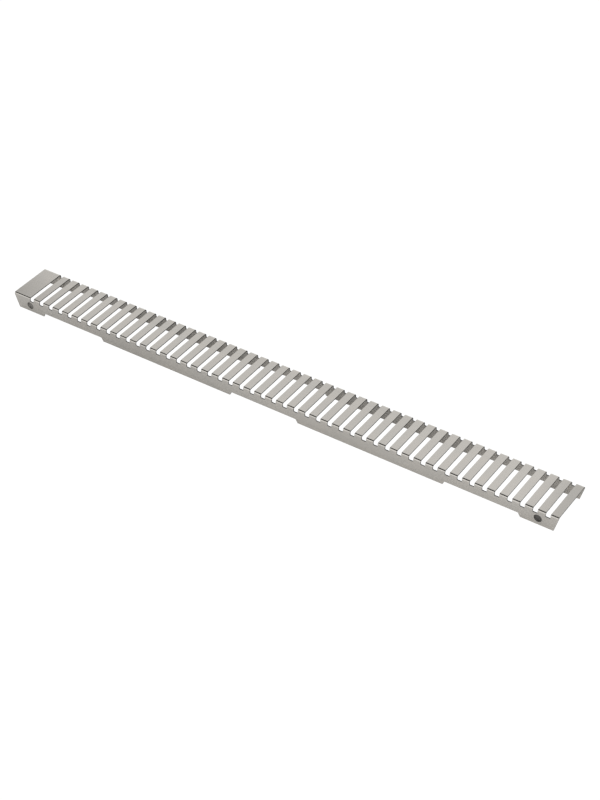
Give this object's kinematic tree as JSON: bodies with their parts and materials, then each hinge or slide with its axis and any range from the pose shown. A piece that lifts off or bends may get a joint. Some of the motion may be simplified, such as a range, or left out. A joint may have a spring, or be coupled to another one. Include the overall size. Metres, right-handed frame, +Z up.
{
  "type": "channel drain grate",
  "caption": "Slotted channel drain grate folded from stainless sheet, with stepped side flanges and round recesses near the ends.",
  "frame": {"origin": "under the middle of the grate, on the plane that the deep flange edges stand on", "axes": "+X along the channel towards the end that finishes in a bar, +Y across it, +Z up through the walking surface"},
  "size_m": [0.9932, 0.0764, 0.0268],
  "materials": {
    "grate": "satin, fine rolled grain along the length"
  },
  "bodies": {
    "root": {"grate": "grate"}
  },
  "joints": []
}
